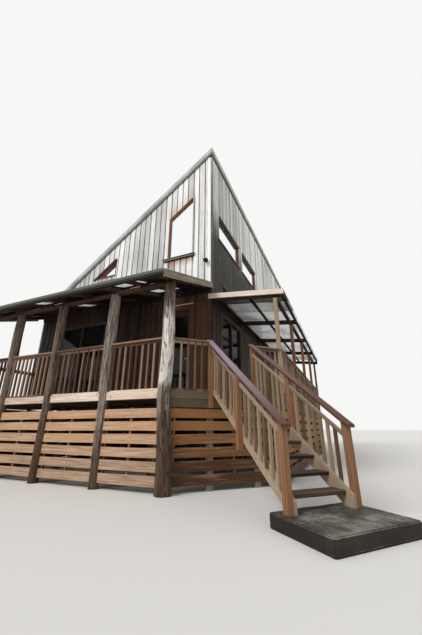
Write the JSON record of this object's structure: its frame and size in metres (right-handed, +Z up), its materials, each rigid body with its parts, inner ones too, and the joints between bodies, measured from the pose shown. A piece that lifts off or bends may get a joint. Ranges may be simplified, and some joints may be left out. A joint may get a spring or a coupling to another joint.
{
  "type": "stilt house",
  "caption": "Timber house on stumps with a steep single-slope roof, a log-post verandah, a cut-corner stair, slatted skirts and a side deck under a lean-to.",
  "frame": {"origin": "lowest ground level under the outer front right corner of the house, on the foot of the corner stump", "axes": "+X along the front wall to the right, +Y back along the right wall, +Z up"},
  "size_m": [10.3065, 15.0853, 9.8232],
  "materials": {
    "stone": "rough sawn stone",
    "stump_timber": "round, weathered",
    "floor_timber": "rough sawn",
    "deck_timber": "worn boards",
    "silver_cladding": "weathered board and batten",
    "brown_cladding": "oiled board and batten",
    "grey_roof": "corrugated, satin",
    "flashing": "folded sheet, satin",
    "red_timber": "oiled",
    "glass": "clear",
    "steel": "satin",
    "pale_timber": "fresh sawn",
    "olive_timber": "weathered",
    "log": "debarked, weathered",
    "rail_timber": "weathered",
    "slat_timber": "rough sawn",
    "milky_sheet": "corrugated, translucent",
    "dark_metal": "matt"
  },
  "bodies": {
    "house": {"stair_slab": "stone", "stumps": "stump_timber", "floor_bearers": "floor_timber", "floor_joists": "floor_timber", "house_floor": "floor_timber", "upper_floor": "floor_timber", "front_wall_upper": "silver_cladding", "front_wall_lower": "brown_cladding", "right_wall_upper": "silver_cladding", "right_wall_lower": "brown_cladding", "left_wall": "silver_cladding", "back_wall": "silver_cladding", "main_roof": "grey_roof", "roof_flashings": "flashing", "gutters": "flashing", "window_frames": "red_timber", "window_glass": "glass", "glazed_screens": "red_timber", "door_frame": "red_timber", "verandah_deck": "deck_timber", "side_deck": "deck_timber", "verandah_rims": "pale_timber", "deck_edge_boards": "olive_timber", "wall_ledgers": "floor_timber", "corner_post": "log", "verandah_posts": "log", "plate_log": "log", "verandah_rafters": "log", "roof_battens": "floor_timber", "verandah_roof": "grey_roof", "verandah_fascia": "olive_timber", "barge_boards": "pale_timber", "front_balustrade": "rail_timber", "corner_balustrade": "rail_timber", "side_balustrade": "rail_timber", "front_skirt": "slat_timber", "corner_skirt": "slat_timber", "side_skirt": "slat_timber", "stair_stringers": "rail_timber", "stair_treads": "deck_timber", "stair_newels": "rail_timber", "stair_handrails": "rail_timber", "stair_balusters": "rail_timber", "lean_to_beam": "rail_timber", "lean_to_posts": "rail_timber", "lean_to_rafters": "rail_timber", "lean_to_roof": "milky_sheet", "wall_lamp": "dark_metal"},
    "front_door": {"door_leaf": "red_timber", "door_glass": "glass", "door_handles": "steel"}
  },
  "joints": [
    {"name": "front_door_hinge", "type": "hinge", "parent": "house", "child": "front_door", "pos_m": [-1.4075, 0.146, 3], "axis": [0, 0, 1], "range_deg": [0, 95]}
  ]
}
